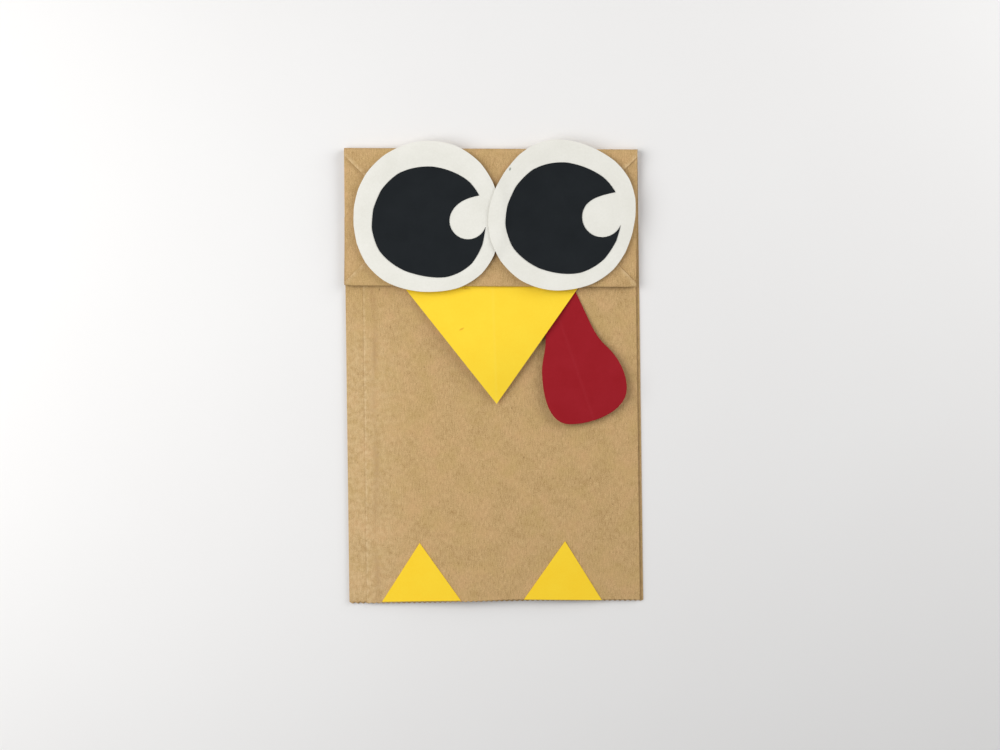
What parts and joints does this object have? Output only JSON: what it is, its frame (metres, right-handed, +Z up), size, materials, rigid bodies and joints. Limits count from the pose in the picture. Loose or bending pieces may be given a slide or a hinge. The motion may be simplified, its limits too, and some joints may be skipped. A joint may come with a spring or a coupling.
{
  "type": "paper bag puppet",
  "caption": "Hand puppet folded from a flattened kraft paper bag, with a flap head that opens as a mouth and cut-paper eyes, beak, wattle and feet.",
  "frame": {"origin": "on the surface that the puppet lies on, under the middle of its outline", "axes": "+X to the viewer's right across the face, +Y towards the top fold, +Z up out of the face; the puppet lies on its back panel"},
  "size_m": [0.135, 0.2082, 0.0082],
  "materials": {
    "kraft_paper": "uncoated brown kraft paper, matt, with fine vertical fibre streaks and dark specks",
    "eye_paper": "white construction paper, matt",
    "pupil_paper": "black construction paper, matt",
    "yellow_paper": "bright yellow construction paper, matt",
    "wattle_paper": "dark red construction paper, matt"
  },
  "bodies": {
    "back": {"back_panel": "kraft_paper"},
    "gusset_left_rear": {"gusset_left_rear": "kraft_paper"},
    "gusset_right_rear": {"gusset_right_rear": "kraft_paper"},
    "front": {"front_panel": "kraft_paper", "seam_lap": "kraft_paper", "foot_left": "yellow_paper", "foot_right": "yellow_paper"},
    "gusset_left_front": {"gusset_left_front": "kraft_paper"},
    "gusset_right_front": {"gusset_right_front": "kraft_paper"},
    "head": {"upper_bottom_flap": "kraft_paper", "lower_bottom_flap": "kraft_paper", "end_triangle_left": "kraft_paper", "end_triangle_right": "kraft_paper", "eye_white_left": "eye_paper", "eye_white_right": "eye_paper", "pupil_left": "pupil_paper", "pupil_right": "pupil_paper", "beak": "yellow_paper", "wattle": "wattle_paper"},
    "lining": {"mouth_lining": "kraft_paper"},
    "cheek_left": {"cheek_web_left": "kraft_paper"},
    "cheek_right": {"cheek_web_right": "kraft_paper"}
  },
  "joints": [
    {"name": "hand_opening", "type": "hinge", "parent": "back", "child": "front", "pos_m": [0, 0.09717, 0.00263], "axis": [-1, 0, 0], "range_deg": [0, 12]},
    {"name": "mouth", "type": "hinge", "parent": "front", "child": "head", "pos_m": [0, 0.09717, 0.00263], "axis": [-1, 0, 0], "range_deg": [0, 70]},
    {"name": "gusset_left_rear_fold", "type": "hinge", "parent": "back", "child": "gusset_left_rear", "pos_m": [-0.0645, 0, 0.00038], "axis": [0, -1, 0], "range_deg": [0, 40]},
    {"name": "gusset_right_rear_fold", "type": "hinge", "parent": "back", "child": "gusset_right_rear", "pos_m": [0.0675, 0, 0.00038], "axis": [0, 1, 0], "range_deg": [0, 40]},
    {"name": "gusset_left_front_fold", "type": "hinge", "parent": "front", "child": "gusset_left_front", "pos_m": [-0.0655, 0, 0.00137], "axis": [0, 1, 0], "range_deg": [0, 40]},
    {"name": "gusset_right_front_fold", "type": "hinge", "parent": "front", "child": "gusset_right_front", "pos_m": [0.0665, 0, 0.00137], "axis": [0, -1, 0], "range_deg": [0, 40]},
    {"name": "lining_fold", "type": "hinge", "parent": "head", "child": "lining", "pos_m": [0, 0.03918, 0.00438], "axis": [-1, 0, 0], "range_deg": [0, 40]},
    {"name": "cheek_left_fold", "type": "hinge", "parent": "head", "child": "cheek_left", "pos_m": [-0.0675, 0, 0.00438], "axis": [0, 1, 0], "range_deg": [0, 30]},
    {"name": "cheek_right_fold", "type": "hinge", "parent": "head", "child": "cheek_right", "pos_m": [0.0645, 0, 0.00438], "axis": [0, -1, 0], "range_deg": [0, 30]}
  ],
  "couplings": [
    {"joint": "gusset_left_rear_fold", "follows": "hand_opening", "ratio": 3.2},
    {"joint": "gusset_right_rear_fold", "follows": "hand_opening", "ratio": 3.2},
    {"joint": "gusset_left_front_fold", "follows": "hand_opening", "ratio": 3.2},
    {"joint": "gusset_right_front_fold", "follows": "hand_opening", "ratio": 3.2},
    {"joint": "lining_fold", "follows": "mouth", "ratio": 0.55},
    {"joint": "cheek_left_fold", "follows": "mouth", "ratio": 0.4},
    {"joint": "cheek_right_fold", "follows": "mouth", "ratio": 0.4}
  ]
}
